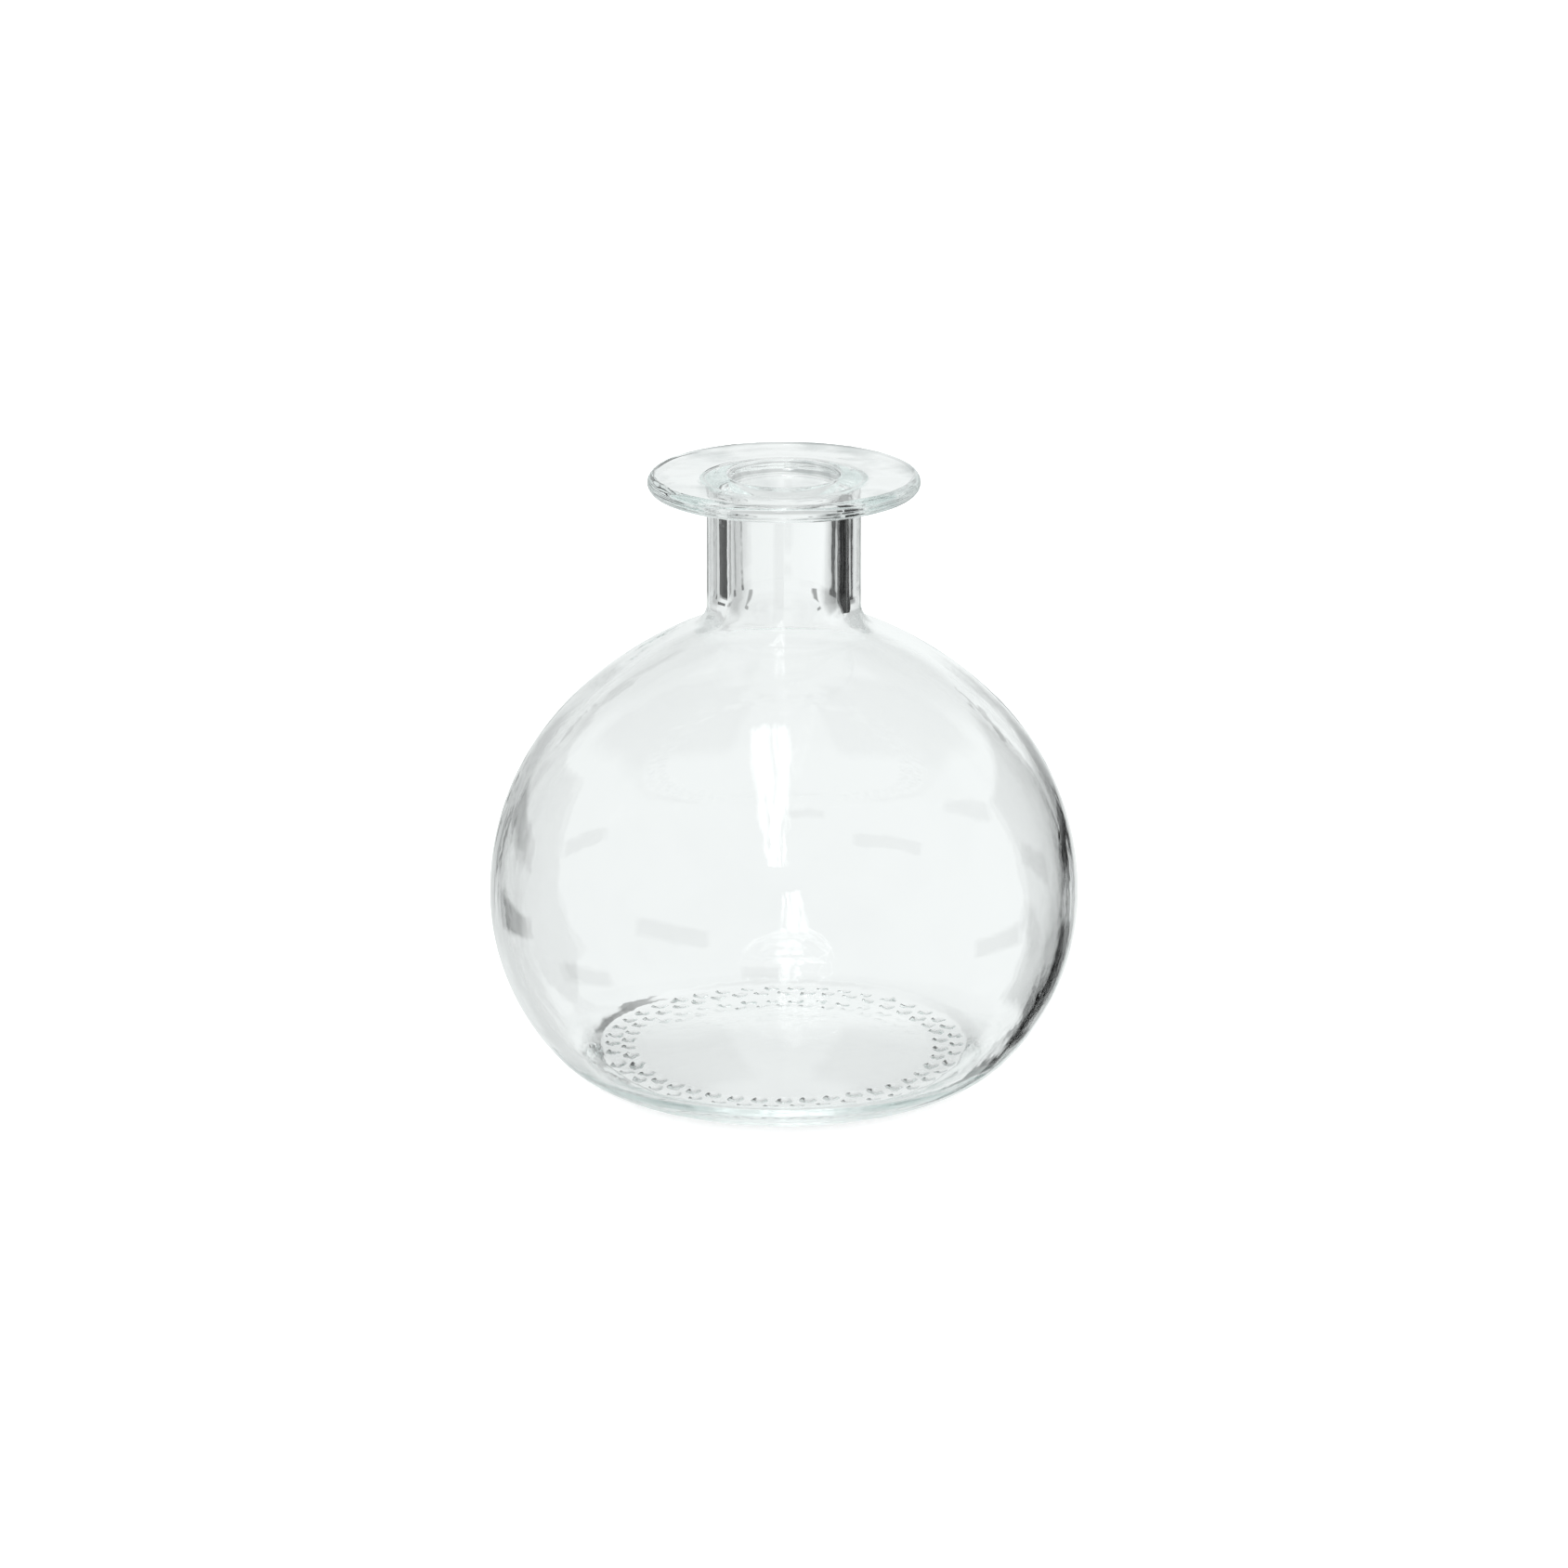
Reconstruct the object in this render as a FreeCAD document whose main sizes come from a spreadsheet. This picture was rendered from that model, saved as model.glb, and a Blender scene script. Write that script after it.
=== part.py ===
# Glass bud vase: one piece of clear soda-lime glass, blown in a mould.
#
# A wide flat lip with a fully rounded edge, a thick straight neck, a flattened ball
# for a body, and a slightly pushed-up base. Round the base runs a flat bearing ring
# with two staggered rows of small round bumps, and the vase stands on their flat tips.
#
# Frame: millimetres, +Z up along the axis of the vase, the origin at the centre of
# the bearing ring, on the surface that the vase stands on.
import FreeCAD, Part
import math
import os

import Sketcher

# Driving dimensions, in millimetres. Heights are above the surface that the vase stands on.
DIMENSIONS = {
    "total_height": 105.0,
    "body_radius": 50.0,
    "widest_height": 31.9,
    "upper_body_arc": 45.9,
    "shoulder_start": 36.6,
    "shoulder_arc": 66.0,
    "lower_body_arc": 38.8,
    "heel_arc": 19.8,
    "foot_arc": 3.0,
    "ring_outer": 31.0,
    "ring_inner": 25.2,
    "ring_height": 0.45,
    "push_up": 1.7,
    "shoulder_fillet": 4.5,
    "neck_radius": 13.0,
    "lip_radius": 22.9,
    "lip_thickness": 3.1,
    "lip_fillet": 1.2,
    "bore_radius": 9.25,
    "mouth_round": 0.8,
    "wall": 2.1,
    "inner_shoulder_fillet": 8.5,
    "inner_lower_arc": 36.2,
    "inner_heel_arc": 8.0,
    "inner_base_height": 6.2,
    "inner_base_arc": 400.0,
    "bump_count": 42,
    "bump_sphere": 1.8,
    "bump_tip_radius": 0.4,
    "outer_row_radius": 29.6,
    "inner_row_radius": 26.7,
}

NODE = "glass_vase"
CUTTER_RISE = 2.0
LARGEST_TIP = 1.0

# The inside of the shoulder starts on the same ray from the body's centre as the outside.
INNER_CROWN_START = (
    "Dimensions.body_radius - Dimensions.upper_body_arc"
    " + (Dimensions.shoulder_start - Dimensions.body_radius + Dimensions.upper_body_arc)"
    " * (1 - Dimensions.wall / Dimensions.upper_body_arc)"
)

# Sketcher's numbers for the sketch's axes, its origin and the points of an edge.
V_AXIS = -2
ORIGIN = -1
START = 1
END = 2
CENTRE = 3


def make_sheet(doc):
    """The driving dimensions, one plain number a row, with the name as its alias."""
    sheet = doc.addObject("Spreadsheet::Sheet", "Dimensions")
    for row, (name, value) in enumerate(DIMENSIONS.items(), start=1):
        sheet.set("A%d" % row, name.replace("_", " "))
        sheet.set("B%d" % row, str(value))
        sheet.setAlias("B%d" % row, name)
    doc.recompute()
    return sheet


def origin_feature(body, role):
    """The body's own base plane or axis that has this role."""
    for feature in body.Origin.OriginFeatures:
        if feature.Role == role:
            return feature
    raise RuntimeError("no origin feature " + role)


def circle_meeting(near, near_distance, far, far_distance, outermost):
    """The point at the two given distances from two centres, on the chosen side."""
    run = far[0] - near[0]
    rise = far[1] - near[1]
    span = math.hypot(run, rise)
    along = (near_distance**2 - far_distance**2 + span**2) / (2 * span)
    across = math.sqrt(near_distance**2 - along**2)
    middle = (near[0] + along * run / span, near[1] + along * rise / span)
    ends = []
    for side in (1, -1):
        ends.append((middle[0] + side * across * rise / span, middle[1] - side * across * run / span))
    return max(ends) if outermost else min(ends)


def on_ray(start, through, distance):
    """The point at a distance from start, in the direction of another point."""
    run = through[0] - start[0]
    rise = through[1] - start[1]
    scale = distance / math.hypot(run, rise)
    return (start[0] + run * scale, start[1] + rise * scale)


def shoulder_centre(size, inset):
    """Where the upper body arc passes into the flatter shoulder arc, and that arc's centre."""
    middle = size["body_radius"] - size["upper_body_arc"]
    share = (size["shoulder_start"] - middle) / size["upper_body_arc"]
    climb = math.sqrt(1 - share**2)
    reach = size["upper_body_arc"] - inset
    back = size["upper_body_arc"] - size["shoulder_arc"]
    end = (middle + reach * share, size["widest_height"] + reach * climb)
    return end, (middle + back * share, size["widest_height"] + back * climb)


class Outline:
    """A closed half section in the XZ plane, drawn piece after piece and then tied down."""

    def __init__(self, body, name):
        self.sketch = body.newObject("Sketcher::SketchObject", name)
        self.sketch.AttachmentSupport = [(origin_feature(body, "XZ_Plane"), "")]
        self.sketch.MapMode = "FlatFace"
        self.ends = []

    def line(self, start, end):
        edge = Part.LineSegment(FreeCAD.Vector(*start, 0), FreeCAD.Vector(*end, 0))
        index = self.sketch.addGeometry(edge, False)
        self.ends.append((index, 1, 2))
        return index

    def arc(self, centre, start, end, hollow=False):
        """An arc that bulges out of the section, or into it if it is hollow."""
        first, last = (end, start) if hollow else (start, end)
        radius = math.dist(centre, start)
        angles = [math.atan2(point[1] - centre[1], point[0] - centre[0]) for point in (first, last)]
        circle = Part.Circle(FreeCAD.Vector(*centre, 0), FreeCAD.Vector(0, 0, 1), radius)
        index = self.sketch.addGeometry(Part.ArcOfCircle(circle, angles[0], angles[1]), False)
        self.ends.append((index, 2, 1) if hollow else (index, 1, 2))
        return index

    def join(self, smooth):
        """Joins each piece to the next: tangent where the pair is in smooth, else a corner."""
        for place, (index, _, tail) in enumerate(self.ends):
            following, head, _ = self.ends[(place + 1) % len(self.ends)]
            kind = "Tangent" if (index, following) in smooth else "Coincident"
            self.sketch.addConstraint(Sketcher.Constraint(kind, index, tail, following, head))

    def fix(self, kind, name, formula, *where):
        """A named dimension, tied to the sheet by a formula."""
        value = self.sketch.evalExpression(formula)
        number = self.sketch.addConstraint(Sketcher.Constraint(kind, *where, float(value)))
        self.sketch.renameConstraint(number, name)
        self.sketch.setExpression("Constraints." + name, formula)

    def tie(self, kind, *where):
        self.sketch.addConstraint(Sketcher.Constraint(kind, *where))


def glass_outline(body, size):
    """The half section of the outside, filled in to the axis: what the mould shapes."""
    top = size["total_height"]
    under_lip = top - size["lip_thickness"]
    lip_edge = size["lip_thickness"] / 2
    waist = size["widest_height"]
    ring_in = size["ring_inner"]
    ring_out = size["ring_outer"]
    ring_z = size["ring_height"]
    bulge = size["push_up"] - ring_z
    push_arc = (ring_in**2 + bulge**2) / (2 * bulge)

    upper = (size["body_radius"] - size["upper_body_arc"], waist)
    upper_end, crown = shoulder_centre(size, 0)
    lower = (size["body_radius"] - size["lower_body_arc"], waist)
    foot = (ring_out, ring_z + size["foot_arc"])
    heel = circle_meeting(
        lower, size["lower_body_arc"] - size["heel_arc"], foot, size["heel_arc"] - size["foot_arc"], True
    )
    foot_end = on_ray(heel, foot, size["heel_arc"])
    heel_end = on_ray(lower, heel, size["lower_body_arc"])
    widest = (size["body_radius"], waist)
    corner_x = size["neck_radius"] + size["shoulder_fillet"]
    corner_rise = (size["shoulder_arc"] + size["shoulder_fillet"])**2 - (corner_x - crown[0])**2
    corner = (corner_x, crown[1] + math.sqrt(corner_rise))
    body_end = on_ray(crown, corner, size["shoulder_arc"])
    collar = (size["neck_radius"] + size["lip_fillet"], under_lip - size["lip_fillet"])
    edge = (size["lip_radius"] - lip_edge, top - lip_edge)

    outline = Outline(body, "glass_section")
    axis = outline.line((0, top), (0, size["push_up"]))
    push = outline.arc((0, size["push_up"] - push_arc), (0, size["push_up"]), (ring_in, ring_z), True)
    ring = outline.line((ring_in, ring_z), (ring_out, ring_z))
    foot_arc = outline.arc(foot, (ring_out, ring_z), foot_end)
    heel_arc = outline.arc(heel, foot_end, heel_end)
    lower_arc = outline.arc(lower, heel_end, widest)
    upper_arc = outline.arc(upper, widest, upper_end)
    crown_arc = outline.arc(crown, upper_end, body_end)
    corner_arc = outline.arc(corner, body_end, (size["neck_radius"], corner[1]), True)
    neck = outline.line((size["neck_radius"], corner[1]), (size["neck_radius"], collar[1]))
    collar_arc = outline.arc(collar, (size["neck_radius"], collar[1]), (collar[0], under_lip), True)
    underside = outline.line((collar[0], under_lip), (edge[0], under_lip))
    edge_arc = outline.arc(edge, (edge[0], under_lip), (edge[0], top))
    face = outline.line((edge[0], top), (0, top))
    outline.join([
        (ring, foot_arc), (foot_arc, heel_arc), (heel_arc, lower_arc), (lower_arc, upper_arc),
        (upper_arc, crown_arc), (crown_arc, corner_arc), (corner_arc, neck), (neck, collar_arc),
        (collar_arc, underside), (underside, edge_arc), (edge_arc, face),
    ])

    outline.tie("PointOnObject", axis, START, V_AXIS)
    outline.tie("Vertical", axis)
    outline.tie("PointOnObject", push, CENTRE, V_AXIS)
    outline.tie("Horizontal", ring)
    outline.tie("Vertical", neck)
    outline.tie("Horizontal", underside)
    outline.tie("Horizontal", face)
    outline.fix("DistanceY", "push_up", "Dimensions.push_up", ORIGIN, START, axis, END)
    outline.fix("DistanceY", "ring_height", "Dimensions.ring_height", ORIGIN, START, ring, START)
    outline.fix("DistanceX", "ring_inner", "Dimensions.ring_inner", ORIGIN, START, ring, START)
    outline.fix("DistanceX", "ring_outer", "Dimensions.ring_outer", ORIGIN, START, ring, END)
    outline.fix("Radius", "foot", "Dimensions.foot_arc", foot_arc)
    outline.fix("Radius", "heel", "Dimensions.heel_arc", heel_arc)
    outline.fix("Radius", "lower_body", "Dimensions.lower_body_arc", lower_arc)
    outline.fix("Radius", "upper_body", "Dimensions.upper_body_arc", upper_arc)
    outline.fix("DistanceY", "widest", "Dimensions.widest_height", ORIGIN, START, upper_arc, START)
    outline.fix("DistanceX", "body", "Dimensions.body_radius", ORIGIN, START, upper_arc, START)
    outline.fix("DistanceY", "body_centre", "Dimensions.widest_height", ORIGIN, START, upper_arc, CENTRE)
    outline.fix("DistanceX", "crown_start", "Dimensions.shoulder_start", ORIGIN, START, crown_arc, START)
    outline.fix("Radius", "crown", "Dimensions.shoulder_arc", crown_arc)
    outline.fix("Radius", "corner", "Dimensions.shoulder_fillet", corner_arc)
    outline.fix("DistanceX", "neck", "Dimensions.neck_radius", ORIGIN, START, neck, START)
    outline.fix("Radius", "collar", "Dimensions.lip_fillet", collar_arc)
    outline.fix("DistanceY", "height", "Dimensions.total_height", ORIGIN, START, face, START)
    outline.fix("Radius", "lip_edge", "Dimensions.lip_thickness / 2", edge_arc)
    outline.fix("DistanceX", "lip_centre", "Dimensions.lip_radius - Dimensions.lip_thickness / 2",
                ORIGIN, START, edge_arc, CENTRE)
    return outline.sketch


def cavity_outline(body, size):
    """The half section of the hollow: the blown inside, the bore and the rounded mouth."""
    top = size["total_height"]
    bore = size["bore_radius"]
    waist = size["widest_height"]
    wide = size["body_radius"] - size["wall"]
    upper = (size["body_radius"] - size["upper_body_arc"], waist)
    upper_end, crown = shoulder_centre(size, size["wall"])
    crown_radius = size["shoulder_arc"] - size["wall"]
    lower = (wide - size["inner_lower_arc"], waist)
    floor = (0, size["inner_base_height"] - size["inner_base_arc"])
    heel = circle_meeting(
        lower, size["inner_lower_arc"] - size["inner_heel_arc"],
        floor, size["inner_base_arc"] + size["inner_heel_arc"], True
    )
    floor_end = on_ray(floor, heel, size["inner_base_arc"])
    heel_end = on_ray(lower, heel, size["inner_lower_arc"])
    corner_x = bore + size["inner_shoulder_fillet"]
    corner_rise = (crown_radius + size["inner_shoulder_fillet"])**2 - (corner_x - crown[0])**2
    corner = (corner_x, crown[1] + math.sqrt(corner_rise))
    body_end = on_ray(crown, corner, crown_radius)
    mouth = (bore + size["mouth_round"], top - size["mouth_round"])
    cut_top = top + CUTTER_RISE

    outline = Outline(body, "cavity_section")
    axis = outline.line((0, cut_top), (0, size["inner_base_height"]))
    floor_arc = outline.arc(floor, (0, size["inner_base_height"]), floor_end, True)
    heel_arc = outline.arc(heel, floor_end, heel_end)
    lower_arc = outline.arc(lower, heel_end, (wide, waist))
    upper_arc = outline.arc(upper, (wide, waist), upper_end)
    crown_arc = outline.arc(crown, upper_end, body_end)
    corner_arc = outline.arc(corner, body_end, (bore, corner[1]), True)
    wall = outline.line((bore, corner[1]), (bore, mouth[1]))
    mouth_arc = outline.arc(mouth, (bore, mouth[1]), (mouth[0], top), True)
    rise = outline.line((mouth[0], top), (mouth[0], cut_top))
    lid = outline.line((mouth[0], cut_top), (0, cut_top))
    outline.join([
        (floor_arc, heel_arc), (heel_arc, lower_arc), (lower_arc, upper_arc),
        (upper_arc, crown_arc), (crown_arc, corner_arc), (corner_arc, wall), (wall, mouth_arc),
    ])

    outline.tie("PointOnObject", axis, START, V_AXIS)
    outline.tie("Vertical", axis)
    outline.tie("PointOnObject", floor_arc, CENTRE, V_AXIS)
    outline.tie("Vertical", wall)
    outline.tie("Vertical", rise)
    outline.tie("Horizontal", lid)
    outline.fix("DistanceY", "floor", "Dimensions.inner_base_height", ORIGIN, START, axis, END)
    outline.fix("Radius", "floor_arc", "Dimensions.inner_base_arc", floor_arc)
    outline.fix("Radius", "heel", "Dimensions.inner_heel_arc", heel_arc)
    outline.fix("Radius", "lower_body", "Dimensions.inner_lower_arc", lower_arc)
    outline.fix("Radius", "upper_body", "Dimensions.upper_body_arc - Dimensions.wall", upper_arc)
    outline.fix("DistanceX", "body", "Dimensions.body_radius - Dimensions.wall",
                ORIGIN, START, upper_arc, START)
    outline.fix("DistanceY", "widest", "Dimensions.widest_height", ORIGIN, START, upper_arc, START)
    outline.fix("DistanceY", "body_centre", "Dimensions.widest_height", ORIGIN, START, upper_arc, CENTRE)
    outline.fix("DistanceX", "crown_start", INNER_CROWN_START, ORIGIN, START, crown_arc, START)
    outline.fix("Radius", "crown", "Dimensions.shoulder_arc - Dimensions.wall", crown_arc)
    outline.fix("Radius", "corner", "Dimensions.inner_shoulder_fillet", corner_arc)
    outline.fix("DistanceX", "bore", "Dimensions.bore_radius", ORIGIN, START, wall, START)
    outline.fix("Radius", "mouth", "Dimensions.mouth_round", mouth_arc)
    outline.fix("DistanceX", "mouth_edge", "Dimensions.bore_radius + Dimensions.mouth_round",
                ORIGIN, START, rise, START)
    outline.fix("DistanceY", "mouth_top", "Dimensions.total_height", ORIGIN, START, rise, START)
    outline.fix("DistanceY", "cutter_top", "Dimensions.total_height + %s" % CUTTER_RISE,
                ORIGIN, START, rise, END)
    return outline.sketch


def turn(body, kind, name, sketch):
    """Turns a half section once round the axis of the vase."""
    feature = body.newObject(kind, name)
    feature.Profile = (sketch, [""])
    feature.ReferenceAxis = (sketch, ["V_Axis"])
    feature.Angle = 360
    sketch.Visibility = False
    body.Document.recompute()
    return feature


def bump_row(body, name, turned):
    """One row of bumps: a sphere with a flat tip, sunk in the bearing ring and repeated round."""
    radius = "Dimensions.%s_radius" % name
    tip = "acos(Dimensions.bump_tip_radius / Dimensions.bump_sphere)"
    sphere = body.newObject("PartDesign::AdditiveSphere", name + "_bump")
    sphere.AttachmentSupport = [(origin_feature(body, "XY_Plane"), "")]
    sphere.MapMode = "FlatFace"
    sphere.setExpression("Radius", "Dimensions.bump_sphere")
    sphere.setExpression("Angle1", "-" + tip)
    sphere.setExpression(".AttachmentOffset.Base.x", "%s * cos(%s)" % (radius, turned))
    sphere.setExpression(".AttachmentOffset.Base.y", "%s * sin(%s)" % (radius, turned))
    sphere.setExpression(".AttachmentOffset.Base.z", "Dimensions.bump_sphere * sin(%s)" % tip)
    body.Document.recompute()
    row = body.newObject("PartDesign::PolarPattern", name)
    row.Originals = [sphere]
    row.Axis = (origin_feature(body, "Z_Axis"), [""])
    row.Angle = 360
    row.setExpression("Occurrences", "Dimensions.bump_count")
    body.Tip = row
    body.Document.recompute()
    return row


def make_vase(doc, size):
    """The whole vase as one body, because it is one piece of glass."""
    body = doc.addObject("PartDesign::Body", NODE)
    body.Label = NODE
    solid = turn(body, "PartDesign::Revolution", "outside", glass_outline(body, size))
    full = solid.Shape.Volume
    hollow = turn(body, "PartDesign::Groove", "cavity", cavity_outline(body, size))
    open_form = hollow.Shape.Volume
    if open_form > full / 2:
        raise RuntimeError("the cavity did not cut: %.0f of %.0f" % (open_form, full))
    bump_row(body, "outer_row", "0 deg")
    bump_row(body, "inner_row", "180 deg / Dimensions.bump_count")
    tips = [face for face in body.Shape.Faces if face.Area < LARGEST_TIP]
    if len(tips) != 2 * size["bump_count"] or body.Shape.Volume <= open_form:
        raise RuntimeError("%d bumps stand out of the base" % len(tips))
    body.Placement = FreeCAD.Placement()
    return body


def check(doc, parts):
    """Stops on any failed feature or unusable solid, before anything is written."""
    for item in doc.Objects:
        if "Invalid" in item.State or "Error" in item.State:
            raise RuntimeError("%s failed: %s" % (item.Name, item.State))
        if item.isDerivedFrom("Sketcher::SketchObject") and not item.FullyConstrained:
            raise RuntimeError("%s is not fully constrained" % item.Name)
    for part in parts:
        if part.Shape.isNull() or not part.Shape.isValid() or len(part.Shape.Solids) != 1:
            raise RuntimeError("%s is not one valid solid" % part.Label)


def main():
    doc = FreeCAD.newDocument("glass_bud_vase")
    make_sheet(doc)
    parts = [make_vase(doc, DIMENSIONS)]
    doc.recompute()
    check(doc, parts)
    os.makedirs("parts", exist_ok=True)
    for part in parts:
        part.Shape.exportStep("parts/%s.step" % part.Label)
        box = part.Shape.optimalBoundingBox()
        print("%s: %.0f mm3, %.2f x %.2f x %.2f mm, z from %.3f" % (
            part.Label, part.Shape.Volume, box.XLength, box.YLength, box.ZLength, box.ZMin))


main()
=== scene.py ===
import math

import bmesh
import bpy
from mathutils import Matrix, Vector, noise


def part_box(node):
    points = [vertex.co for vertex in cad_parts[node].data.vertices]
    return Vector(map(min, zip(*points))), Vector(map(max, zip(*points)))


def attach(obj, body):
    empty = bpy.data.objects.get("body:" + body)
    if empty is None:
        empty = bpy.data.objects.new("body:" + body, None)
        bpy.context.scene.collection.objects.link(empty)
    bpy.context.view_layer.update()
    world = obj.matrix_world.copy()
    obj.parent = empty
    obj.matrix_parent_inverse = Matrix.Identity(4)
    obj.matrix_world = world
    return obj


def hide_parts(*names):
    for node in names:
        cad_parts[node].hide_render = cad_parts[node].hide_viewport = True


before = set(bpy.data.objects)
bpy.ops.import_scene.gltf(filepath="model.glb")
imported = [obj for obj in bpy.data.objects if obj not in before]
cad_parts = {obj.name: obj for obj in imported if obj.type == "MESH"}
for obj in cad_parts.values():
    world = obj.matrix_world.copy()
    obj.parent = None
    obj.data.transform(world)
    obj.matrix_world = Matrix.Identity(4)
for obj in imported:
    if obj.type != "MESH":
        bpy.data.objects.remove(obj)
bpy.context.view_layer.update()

NODE = "glass_vase"
MM = 0.001

# The box gives the height and the widest radius; the rest are the part's own dimensions.
low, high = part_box(NODE)
HEIGHT = high.z - low.z
BODY_RADIUS = (high.x - low.x) / 2
WIDEST = 31.9 * MM
UPPER_ARC = 45.9 * MM
UPPER_SWEEP = 45.0
SHOULDER_ARC = 66.0 * MM
LOWER_ARC = 38.8 * MM
HEEL_ARC = 19.8 * MM
FOOT_ARC = 3.0 * MM
RING_OUTER = 31.0 * MM
RING_INNER = 25.2 * MM
RING_HEIGHT = 0.45 * MM
PUSH_UP = 1.7 * MM
SHOULDER_FILLET = 4.5 * MM
NECK_RADIUS = 13.0 * MM
LIP_RADIUS = 22.9 * MM
LIP_THICKNESS = 3.1 * MM
LIP_FILLET = 1.2 * MM
BORE_RADIUS = 9.25 * MM
MOUTH_ROUND = 0.8 * MM
WALL = 2.1 * MM
INNER_SHOULDER_FILLET = 8.5 * MM
INNER_LOWER_ARC = 36.2 * MM
INNER_HEEL_ARC = 8.0 * MM
INNER_BASE_HEIGHT = 6.2 * MM
INNER_BASE_ARC = 400.0 * MM

BUMPS = 42
BUMP_SPHERE = 1.8 * MM
BUMP_TIP = 0.4 * MM
OUTER_ROW = 29.6 * MM
INNER_ROW = 26.7 * MM

# Waves in the glass: depth, and the size of one wave.
INSIDE_WAVE, INSIDE_WAVE_SIZE = 0.15 * MM, 20 * MM
FLOOR_WAVE, FLOOR_WAVE_SIZE = 0.06 * MM, 9 * MM
LIP_WAVE, LIP_WAVE_SIZE = 0.12 * MM, 6 * MM

# Mesh fineness: vertices in a turn, and the distance between rings. The fine ones are round the bumps.
COARSE_TURN = 252
FINE_TURN = 3 * COARSE_TURN
STEP = 1.2 * MM
FINE_STEP = 0.3 * MM

# Glass. Noises are per metre.
GLASS_IOR = 1.52
ABSORPTION, ABSORPTION_DENSITY = (0.5, 0.8, 0.75, 1), 1.0
SMUDGE_COLOUR, SMUDGES = (0.38, 0.42, 0.42, 1.0), 80.0
PEEL, PEEL_DEPTH = 450.0, 0.01 * MM
CORDS, CORD_SQUASH, CORD_DEPTH = 75.0, 0.4, 0.08 * MM
SCUFF_ROUGHNESS, SCUFF_FULL, SCUFF_END = 0.35, 0.03 * MM, 0.15 * MM

# Floor
FLOOR_RADIUS = 12.0
FLOOR_COLOUR = (0.9, 0.9, 0.9, 1)
FLOOR_GLOW = 0.6

# Studio. Directions are in degrees: around is 0 behind the vase and grows to its left, up is 0 when level.
SWEEP_LEVEL = 2.0
ROOM_TINT = (0.965, 1.0, 0.995, 1.0)
ROOM_LEVEL = 0.93
ROOM_DRIFT, DRIFT_REACH = 0.04, 12.0  # darker on the left and lighter on the right by this much
FLAGS = [  # dark boards and shades: across, up, soft edge, how dark
    ((-70.0, -35.5), (-34.0, 20.0), 1.5, 0.98),    # tall black panel, right
    ((-34.0, -20.5), (-14.0, -9.0), 1.2, 0.92),    # its wing
    ((-27.5, -22.0), (-20.0, -13.0), 1.0, 0.94),
    ((-34.0, -20.0), (-37.0, -19.0), 1.2, 0.94),
    ((-34.0, -16.0), (-37.0, -24.0), 2.0, 0.8),    # stepping in towards its foot
    ((-22.0, -12.0), (-40.0, -36.0), 1.5, 0.7),
    ((-34.0, -15.0), (-10.0, 0.0), 4.0, 0.35),     # grey above the wing
    ((-40.0, -22.0), (-30.0, -4.0), 10.0, 0.45),   # the shade they throw on the backdrop
    ((-9.8, -8.4), (-10.0, -8.0), 0.7, 0.7),
    ((35.5, 60.0), (-18.5, -14.5), 1.0, 0.98),     # low black board, left
    ((19.0, 36.0), (-34.0, 0.0), 10.0, 0.2),       # its shade on the backdrop
    ((17.0, 32.0), (-12.5, 0.0), 8.0, 0.2),
    ((15.0, 16.3), (-14.5, -11.5), 0.8, 0.8),      # dark uprights before it
    ((25.0, 27.5), (-13.5, -9.0), 1.2, 0.9),
    ((23.5, 25.0), (-17.0, -15.0), 0.8, 0.5),
    ((9.5, 11.0), (-10.0, -7.8), 0.7, 0.6),
    ((34.0, 56.0), (-5.0, 1.0), 1.0, 0.9),         # boards for the level views
    ((122.0, 150.0), (-5.0, 1.0), 1.0, 0.9),
    ((-100.0, -74.0), (-17.0, -12.5), 1.0, 0.9),   # and for the view from behind
    ((164.0, 180.0), (-17.0, -12.5), 1.0, 0.9),
    ((80.0, 106.0), (-27.5, -22.5), 1.0, 0.9),     # and from the front right
    ((-40.0, 40.0), (20.0, 46.0), 6.0, 0.3),       # the dim top of the backdrop
    ((-180.0, 180.0), (-90.0, -52.0), 8.0, 0.25),  # the shaded table
    ((60.0, 150.0), (-72.0, -46.0), 6.0, 0.7),
    ((-150.0, -60.0), (-72.0, -46.0), 6.0, 0.7),
]
STRIPS = [  # x and y where it crosses a plane 1 above the vase, soft edge, how bright
    ((-0.17, 0.0), (-1.7, -0.05), 0.05, 5.0),
]
STREAK_FINENESS = 14.0
STREAK_SCALE = 1.5
STREAK_GAP, STREAK_CONTRAST = 0.3, 3.3
OVERHEAD_LIMIT = 0.01

# Camera: from the front, a little above, a long lens from about eleven heights away.
CAMERA_DISTANCE = 1195.2 * MM
CAMERA_ELEVATION = math.radians(16.79)
AIM_HEIGHT = 50.7 * MM
LENS, SENSOR = 162.2, 36.0

# A ray guided along inside the glass meets the surface many times before it leaves.
LIGHT_BOUNCES = 160


def meeting(near, near_distance, far, far_distance):
    """The outer of the two points at the given distances from two centres."""
    span = math.dist(near, far)
    run, rise = (far[0] - near[0]) / span, (far[1] - near[1]) / span
    along = (near_distance**2 - far_distance**2 + span**2) / (2 * span)
    across = math.sqrt(near_distance**2 - along**2)
    sides = [(near[0] + along * run + s * across * rise, near[1] + along * rise - s * across * run)
             for s in (1, -1)]
    return max(sides)


def toward(start, through, distance):
    """The point at a distance from start, in the direction of another point."""
    scale = distance / math.dist(start, through)
    return (start[0] + (through[0] - start[0]) * scale, start[1] + (through[1] - start[1]) * scale)


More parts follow.
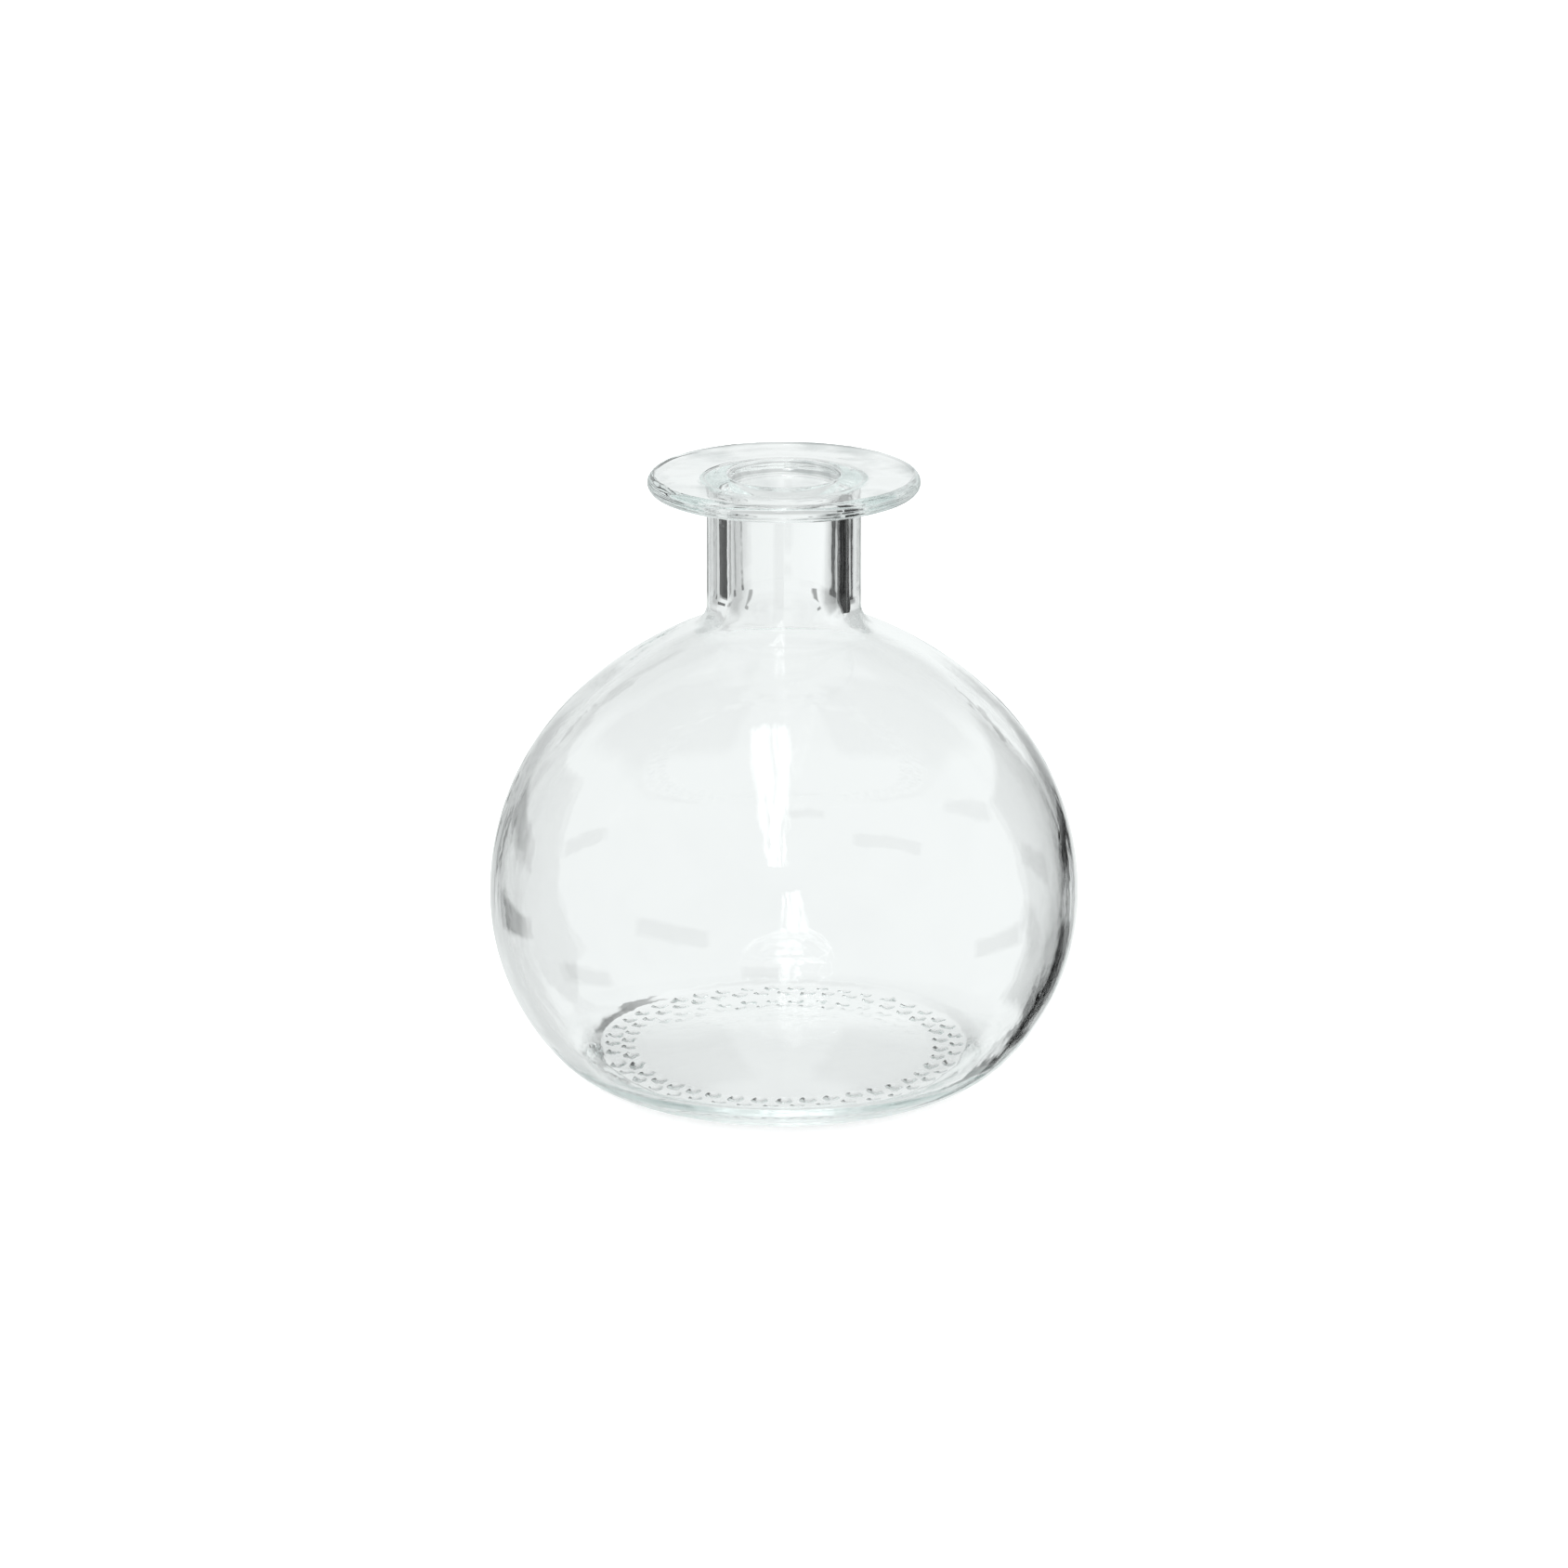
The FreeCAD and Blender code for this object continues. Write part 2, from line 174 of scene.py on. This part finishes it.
class Section:
    """A half section as closely spaced (radius, height) points."""

    def __init__(self, start):
        self.points = [start]

    def line(self, end, step=STEP):
        start = self.points[-1]
        count = max(2, round(math.dist(start, end) / step))
        for i in range(1, count + 1):
            t = i / count
            self.points.append((start[0] + (end[0] - start[0]) * t, start[1] + (end[1] - start[1]) * t))

    def arc(self, centre, end, step=STEP, fewest=4):
        start = self.points[-1]
        radius = math.dist(centre, start)
        first = math.atan2(start[1] - centre[1], start[0] - centre[0])
        last = math.atan2(end[1] - centre[1], end[0] - centre[0])
        sweep = (last - first + math.pi) % (2 * math.pi) - math.pi
        if abs(abs(sweep) - math.pi) < 1e-6:
            sweep = math.pi
        count = max(fewest, round(abs(sweep) * radius / step))
        for i in range(1, count + 1):
            angle = first + sweep * i / count
            across, up = radius * math.cos(angle), radius * math.sin(angle)
            self.points.append((centre[0] + across, centre[1] + up))


def around_shoulder(inset):
    """Centres of the upper body arc, shoulder arc and shoulder fillet, for a wall inset by so much."""
    upper = (BODY_RADIUS - UPPER_ARC, WIDEST)
    sweep = math.radians(UPPER_SWEEP)
    back = UPPER_ARC - SHOULDER_ARC
    shoulder = (upper[0] + back * math.cos(sweep), upper[1] + back * math.sin(sweep))
    fillet_radius = INNER_SHOULDER_FILLET if inset else SHOULDER_FILLET
    fillet_x = (BORE_RADIUS if inset else NECK_RADIUS) + fillet_radius
    rise = (SHOULDER_ARC - inset + fillet_radius)**2 - (fillet_x - shoulder[0])**2
    return upper, shoulder, (fillet_x, shoulder[1] + math.sqrt(rise))


def outside():
    """From the middle of the push-up, under the base, up the body and neck to the mouth."""
    bulge = PUSH_UP - RING_HEIGHT
    push_arc = (RING_INNER**2 + bulge**2) / (2 * bulge)
    foot = (RING_OUTER, RING_HEIGHT + FOOT_ARC)
    lower = (BODY_RADIUS - LOWER_ARC, WIDEST)
    heel = meeting(lower, LOWER_ARC - HEEL_ARC, foot, HEEL_ARC - FOOT_ARC)
    upper, shoulder, fillet = around_shoulder(0.0)
    under_lip = HEIGHT - LIP_THICKNESS
    edge = (LIP_RADIUS - LIP_THICKNESS / 2, HEIGHT - LIP_THICKNESS / 2)

    section = Section((0.0, PUSH_UP))
    section.arc((0.0, PUSH_UP - push_arc), (RING_INNER, RING_HEIGHT))
    fine_from = len(section.points) - 1
    section.line((RING_OUTER, RING_HEIGHT), FINE_STEP)
    fine_to = len(section.points) - 1
    section.arc(foot, toward(heel, foot, HEEL_ARC), FINE_STEP)
    section.arc(heel, toward(lower, heel, LOWER_ARC))
    section.arc(lower, (BODY_RADIUS, WIDEST))
    section.arc(upper, toward(shoulder, upper, SHOULDER_ARC))
    section.arc(shoulder, toward(shoulder, fillet, SHOULDER_ARC))
    section.arc(fillet, (NECK_RADIUS, fillet[1]), STEP / 3)
    section.line((NECK_RADIUS, under_lip - LIP_FILLET))
    section.arc(
        (NECK_RADIUS + LIP_FILLET, under_lip - LIP_FILLET), (NECK_RADIUS + LIP_FILLET, under_lip), STEP / 4)
    section.line((edge[0], under_lip))
    section.arc(edge, (edge[0], HEIGHT), STEP / 4)
    section.line((BORE_RADIUS + MOUTH_ROUND, HEIGHT))
    return section.points, fine_from, fine_to


def inside():
    """From the mouth down the bore and round the hollow to the middle of its floor."""
    wide = BODY_RADIUS - WALL
    upper, shoulder, fillet = around_shoulder(WALL)
    lower = (wide - INNER_LOWER_ARC, WIDEST)
    floor = (0.0, INNER_BASE_HEIGHT - INNER_BASE_ARC)
    heel = meeting(lower, INNER_LOWER_ARC - INNER_HEEL_ARC, floor, INNER_BASE_ARC + INNER_HEEL_ARC)
    section = Section((BORE_RADIUS + MOUTH_ROUND, HEIGHT))
    section.arc(
        (BORE_RADIUS + MOUTH_ROUND, HEIGHT - MOUTH_ROUND), (BORE_RADIUS, HEIGHT - MOUTH_ROUND), STEP / 5)
    section.line((BORE_RADIUS, fillet[1]))
    section.arc(fillet, toward(shoulder, fillet, SHOULDER_ARC - WALL), STEP / 3)
    section.arc(shoulder, toward(shoulder, upper, SHOULDER_ARC - WALL))
    section.arc(upper, (wide, WIDEST))
    section.arc(lower, toward(lower, heel, INNER_LOWER_ARC))
    section.arc(heel, toward(floor, heel, INNER_BASE_ARC))
    section.arc(floor, (0.0, INNER_BASE_HEIGHT))
    return section.points[1:]


def ring(mesh, radius, height, count):
    if radius < 1e-7:
        return [mesh.verts.new((0.0, 0.0, height))]
    turn = 2 * math.pi / count
    return [mesh.verts.new((radius * math.cos(i * turn), radius * math.sin(i * turn), height))
            for i in range(count)]


def stitch(mesh, lower, upper):
    """Faces between two neighbouring rings, which may differ in count by a whole factor."""
    if len(lower) == 1:
        for i in range(len(upper)):
            mesh.faces.new((lower[0], upper[(i + 1) % len(upper)], upper[i]))
    elif len(upper) == 1:
        for i in range(len(lower)):
            mesh.faces.new((lower[i], lower[(i + 1) % len(lower)], upper[0]))
    elif len(lower) == len(upper):
        for i in range(len(lower)):
            j = (i + 1) % len(lower)
            mesh.faces.new((lower[i], lower[j], upper[j], upper[i]))
    elif len(lower) < len(upper):
        factor = len(upper) // len(lower)
        for i in range(len(lower)):
            j = (i + 1) % len(lower)
            fan = [upper[(i * factor + k) % len(upper)] for k in range(factor + 1)]
            mesh.faces.new([lower[i], lower[j]] + fan[::-1])
    else:
        factor = len(lower) // len(upper)
        for i in range(len(upper)):
            j = (i + 1) % len(upper)
            fan = [lower[(i * factor + k) % len(lower)] for k in range(factor + 1)]
            mesh.faces.new(fan + [upper[j], upper[i]])


def press_bumps(verts):
    """Presses both rows of round bumps with flat tips out of the bearing ring."""
    pitch = 2 * math.pi / BUMPS
    centre = math.sqrt(BUMP_SPHERE**2 - BUMP_TIP**2)
    for vert in verts:
        radius = math.hypot(vert.co.x, vert.co.y)
        angle = math.atan2(vert.co.y, vert.co.x)
        for row, shift in ((OUTER_ROW, 0.0), (INNER_ROW, 0.5)):
            nearest = (round(angle / pitch - shift) + shift) * pitch
            away = math.hypot(radius - row, (angle - nearest) * row)
            if away < BUMP_SPHERE:
                vert.co.z = min(vert.co.z, max(0.0, centre - math.sqrt(BUMP_SPHERE**2 - away**2)))


def ripple(verts, depth, size):
    """The slight unevenness of glass that no mould touched: long soft waves, always into the glass."""
    for vert in verts:
        wave = noise.fractal(vert.co / size, 1.0, 2.0, 2)  # two octaves, the second half the size
        vert.co -= vert.normal * depth * min(max(0.5 + 0.5 * wave, 0.0), 1.0)


def build_vase():
    outer, fine_from, fine_to = outside()
    inner = inside()
    mesh = bmesh.new()
    rings = []
    for i, (radius, height) in enumerate(outer):
        count = FINE_TURN if fine_from <= i <= fine_to else COARSE_TURN
        rings.append(ring(mesh, radius, height, count))
    for radius, height in inner:
        rings.append(ring(mesh, max(radius, 0.0), height, COARSE_TURN))
    for lower, upper in zip(rings, rings[1:]):
        stitch(mesh, lower, upper)
    mesh.normal_update()
    outside_verts = [v for r in rings[:len(outer)] for v in r]
    inside_verts = [v for r in rings[len(outer):] for v in r]
    ripple([v for v in inside_verts if v.co.z < HEIGHT - LIP_THICKNESS], INSIDE_WAVE, INSIDE_WAVE_SIZE)
    ripple([v for v in inside_verts if v.co.z < 2 * INNER_BASE_HEIGHT], FLOOR_WAVE, FLOOR_WAVE_SIZE)
    lip_top = HEIGHT - 0.01 * MM
    ripple([v for v in outside_verts if v.co.z > lip_top], LIP_WAVE, LIP_WAVE_SIZE)
    press_bumps([v for r in rings[fine_from:fine_to + 1] for v in r])
    data = bpy.data.meshes.new("vase_glass")
    mesh.to_mesh(data)
    mesh.free()
    data.shade_smooth()
    vase = bpy.data.objects.new("vase_glass", data)
    bpy.context.scene.collection.objects.link(vase)
    return vase


def glass_material():
    """Clear soda-lime glass: faintly wavy, smudged where it is handled, scuffed where it stands."""
    material = bpy.data.materials.new("clear_glass")
    material.use_nodes = True
    nodes, links = material.node_tree.nodes, material.node_tree.links
    shader = nodes["Principled BSDF"]
    shader.inputs["IOR"].default_value = GLASS_IOR
    shader.inputs["Transmission Weight"].default_value = 1.0
    coords = nodes.new("ShaderNodeTexCoord")
    height = nodes.new("ShaderNodeSeparateXYZ")
    links.new(coords.outputs["Object"], height.inputs[0])

    def cloud(per_metre, detail, squash=1.0):
        """Soft noise, drawn out along the height when squash is below 1."""
        stretch = nodes.new("ShaderNodeMapping")
        stretch.inputs["Scale"].default_value = (1.0, 1.0, squash)
        links.new(coords.outputs["Object"], stretch.inputs["Vector"])
        texture = nodes.new("ShaderNodeTexNoise")
        texture.inputs["Scale"].default_value = per_metre
        texture.inputs["Detail"].default_value = detail
        links.new(stretch.outputs[0], texture.inputs["Vector"])
        return texture.outputs["Fac"]

    def spread(value, value_from, value_to, result_from, result_to):
        """Carries a range of one value over to a range of another, and holds it inside."""
        node = nodes.new("ShaderNodeMapRange")
        for name, number in (("From Min", value_from), ("From Max", value_to),
                             ("To Min", result_from), ("To Max", result_to)):
            node.inputs[name].default_value = number
        links.new(value, node.inputs["Value"])
        return node.outputs[0]

    # Colour: clear, with grey smudges on the lip and hardly any below it.
    handled = spread(height.outputs["Z"], HEIGHT - 2 * LIP_THICKNESS, HEIGHT - LIP_THICKNESS, 0.02, 1.0)
    smudge = nodes.new("ShaderNodeMath")
    smudge.operation = "MULTIPLY"
    links.new(spread(cloud(SMUDGES, 3.0), 0.5, 0.68, 0.0, 1.0), smudge.inputs[0])
    links.new(handled, smudge.inputs[1])
    colour = nodes.new("ShaderNodeMix")
    colour.data_type = "RGBA"
    colour.inputs["A"].default_value = (1.0, 1.0, 1.0, 1.0)
    colour.inputs["B"].default_value = SMUDGE_COLOUR
    links.new(smudge.outputs[0], colour.inputs["Factor"])
    links.new(colour.outputs["Result"], shader.inputs["Base Color"])

    # Roughness: polished, but scuffed on the tips of the bumps that the vase stands on.
    scuffed = spread(height.outputs["Z"], SCUFF_FULL, SCUFF_END, SCUFF_ROUGHNESS, 0.0)
    links.new(scuffed, shader.inputs["Roughness"])

    # Relief: cords drawn out along the height, and a finer orange peel.
    peel = nodes.new("ShaderNodeBump")
    peel.inputs["Distance"].default_value = PEEL_DEPTH
    links.new(cloud(PEEL, 1.0), peel.inputs["Height"])
    cords = nodes.new("ShaderNodeBump")
    cords.inputs["Distance"].default_value = CORD_DEPTH
    links.new(cloud(CORDS, 2.0, CORD_SQUASH), cords.inputs["Height"])
    links.new(peel.outputs[0], cords.inputs["Normal"])
    links.new(cords.outputs[0], shader.inputs["Normal"])

    volume = nodes.new("ShaderNodeVolumeAbsorption")
    volume.inputs["Color"].default_value = ABSORPTION
    volume.inputs["Density"].default_value = ABSORPTION_DENSITY
    links.new(volume.outputs[0], nodes["Material Output"].inputs["Volume"])
    return material


vase = build_vase()
vase.data.materials.append(glass_material())
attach(vase, "root")
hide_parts(NODE)

# Floor: pale paper with a faint glow, so that the vase throws hardly any shadow. The glass looks past it.
floor_data = bpy.data.meshes.new("floor")
floor_mesh = bmesh.new()
bmesh.ops.create_circle(floor_mesh, cap_ends=True, radius=FLOOR_RADIUS, segments=96)
floor_mesh.to_mesh(floor_data)
floor_mesh.free()
floor = bpy.data.objects.new("floor", floor_data)
bpy.context.scene.collection.objects.link(floor)
floor_material = bpy.data.materials.new("floor_paper")
floor_material.use_nodes = True
floor_shader = floor_material.node_tree.nodes["Principled BSDF"]
floor_shader.inputs["Base Color"].default_value = FLOOR_COLOUR
floor_shader.inputs["Roughness"].default_value = 1.0
floor_shader.inputs["Specular IOR Level"].default_value = 0.0
floor_shader.inputs["Emission Color"].default_value = (1.0, 1.0, 1.0, 1.0)
floor_shader.inputs["Emission Strength"].default_value = FLOOR_GLOW
floor_material.cycles.emission_sampling = "NONE"
floor.data.materials.append(floor_material)
floor.visible_transmission = False
floor.visible_glossy = False


def studio_world():
    """A bright room with dark boards and a strip light overhead, laid out by direction from the vase.

    Only the glass sees it. The camera and the floor see a plain white sweep.
    """
    world = bpy.data.worlds.new("studio")
    bpy.context.scene.world = world
    world.use_nodes = True
    nodes, links = world.node_tree.nodes, world.node_tree.links
    nodes.clear()
    coords = nodes.new("ShaderNodeTexCoord")
    split = nodes.new("ShaderNodeSeparateXYZ")
    links.new(coords.outputs["Generated"], split.inputs[0])

    def maths(operation, a, b=0.0, clamp=False):
        node = nodes.new("ShaderNodeMath")
        node.operation = operation
        node.use_clamp = clamp
        for socket, value in zip(node.inputs, (a, b)):
            if isinstance(value, float):
                socket.default_value = value
            else:
                links.new(value, socket)
        return node.outputs[0]

    def band(value, start, end, soft):
        """1 between start and end, falling smoothly to 0 over soft beyond each."""
        rising = maths("DIVIDE", maths("SUBTRACT", value, start - soft), soft, True)
        falling = maths("DIVIDE", maths("SUBTRACT", end + soft, value), soft, True)
        return maths("MINIMUM", rising, falling)

    def patch(across, along, soft):
        return maths("MULTIPLY", band(around, *across, soft), band(up, *along, soft))

    degrees = 180 / math.pi
    left = maths("MULTIPLY", split.outputs["X"], -1.0)
    around = maths("MULTIPLY", maths("ARCTAN2", left, split.outputs["Y"]), degrees)
    up = maths("MULTIPLY", maths("ARCSINE", split.outputs["Z"]), degrees)

    near = maths("MINIMUM", maths("MAXIMUM", around, -DRIFT_REACH), DRIFT_REACH)
    drift = maths("DIVIDE", near, DRIFT_REACH)
    level = maths("SUBTRACT", ROOM_LEVEL, maths("MULTIPLY", drift, ROOM_DRIFT))
    for across, along, soft, dark in FLAGS:
        kept = maths("SUBTRACT", 1.0, maths("MULTIPLY", patch(across, along, soft), dark))
        level = maths("MULTIPLY", level, kept)

    # The strip light hangs level, so it is laid out on a plane at height 1 over the vase.
    rise = maths("MAXIMUM", split.outputs["Z"], OVERHEAD_LIMIT)
    over_x = maths("DIVIDE", split.outputs["X"], rise)
    over_y = maths("DIVIDE", split.outputs["Y"], rise)
    plane = nodes.new("ShaderNodeCombineXYZ")
    links.new(maths("MULTIPLY", over_x, STREAK_FINENESS), plane.inputs["X"])
    links.new(over_y, plane.inputs["Y"])
    streaks = nodes.new("ShaderNodeTexNoise")
    streaks.inputs["Scale"].default_value = STREAK_SCALE
    streaks.inputs["Detail"].default_value = 2.0
    links.new(plane.outputs[0], streaks.inputs["Vector"])
    uneven = maths("MULTIPLY", maths("SUBTRACT", streaks.outputs["Fac"], STREAK_GAP), STREAK_CONTRAST, True)
    for (x_from, x_to), (y_from, y_to), soft, bright in STRIPS:
        strip = maths("MULTIPLY", band(over_x, x_from, x_to, soft), band(over_y, y_from, y_to, soft))
        level = maths("MAXIMUM", level, maths("MULTIPLY", maths("MULTIPLY", strip, uneven), bright))

    rays = nodes.new("ShaderNodeLightPath")
    plain = maths("MAXIMUM", rays.outputs["Is Camera Ray"], rays.outputs["Is Diffuse Ray"])
    mix = nodes.new("ShaderNodeMix")
    links.new(plain, mix.inputs["Factor"])
    links.new(level, mix.inputs["A"])
    mix.inputs["B"].default_value = SWEEP_LEVEL
    background = nodes.new("ShaderNodeBackground")
    background.inputs["Color"].default_value = ROOM_TINT
    links.new(mix.outputs["Result"], background.inputs["Strength"])
    output = nodes.new("ShaderNodeOutputWorld")
    links.new(background.outputs[0], output.inputs["Surface"])


studio_world()

# Camera
camera_data = bpy.data.cameras.new("camera")
camera_data.lens = LENS
camera_data.sensor_width = SENSOR
camera_data.clip_start = 0.01
camera_data.clip_end = 100.0
camera = bpy.data.objects.new("camera", camera_data)
camera.location = (
    0,
    -CAMERA_DISTANCE * math.cos(CAMERA_ELEVATION),
    AIM_HEIGHT + CAMERA_DISTANCE * math.sin(CAMERA_ELEVATION),
)
camera.rotation_euler = (math.pi / 2 - CAMERA_ELEVATION, 0, 0)
bpy.context.scene.collection.objects.link(camera)
scene = bpy.context.scene
scene.camera = camera
scene.view_settings.view_transform = "Standard"
scene.cycles.max_bounces = LIGHT_BOUNCES
scene.cycles.transmission_bounces = LIGHT_BOUNCES
scene.cycles.glossy_bounces = LIGHT_BOUNCES
